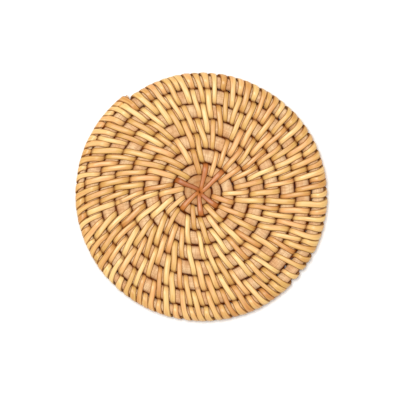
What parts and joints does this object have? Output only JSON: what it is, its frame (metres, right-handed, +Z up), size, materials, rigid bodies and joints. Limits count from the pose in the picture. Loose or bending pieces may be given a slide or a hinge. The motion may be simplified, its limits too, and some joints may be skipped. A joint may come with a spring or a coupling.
{
  "type": "round coiled rattan mat",
  "caption": "Flat round mat of coiled rattan: a round core wound in a flat spiral, each row lashed to the row inside it with flat cane.",
  "frame": {"origin": "middle of the mat's outline, on the surface it lies on", "axes": "+Z up, out of the mat's upper face; seen from above the core winds clockwise outwards and its drawn-out end is towards +Y and a little towards -X"},
  "size_m": [0.1008, 0.0992, 0.0059],
  "materials": {
    "rattan_core": "matt",
    "cane": "satin",
    "dark_cane": "satin"
  },
  "bodies": {
    "root": {"core_coil": "rattan_core", "star_lashing": "dark_cane", "lashing_1": "cane", "lashing_2": "cane", "lashing_3": "cane", "lashing_4": "cane", "lashing_5": "cane", "lashing_6": "cane", "lashing_7": "cane", "lashing_8": "cane", "lashing_9": "cane", "rim_lashing_1": "cane", "rim_lashing_2": "cane"}
  },
  "joints": []
}
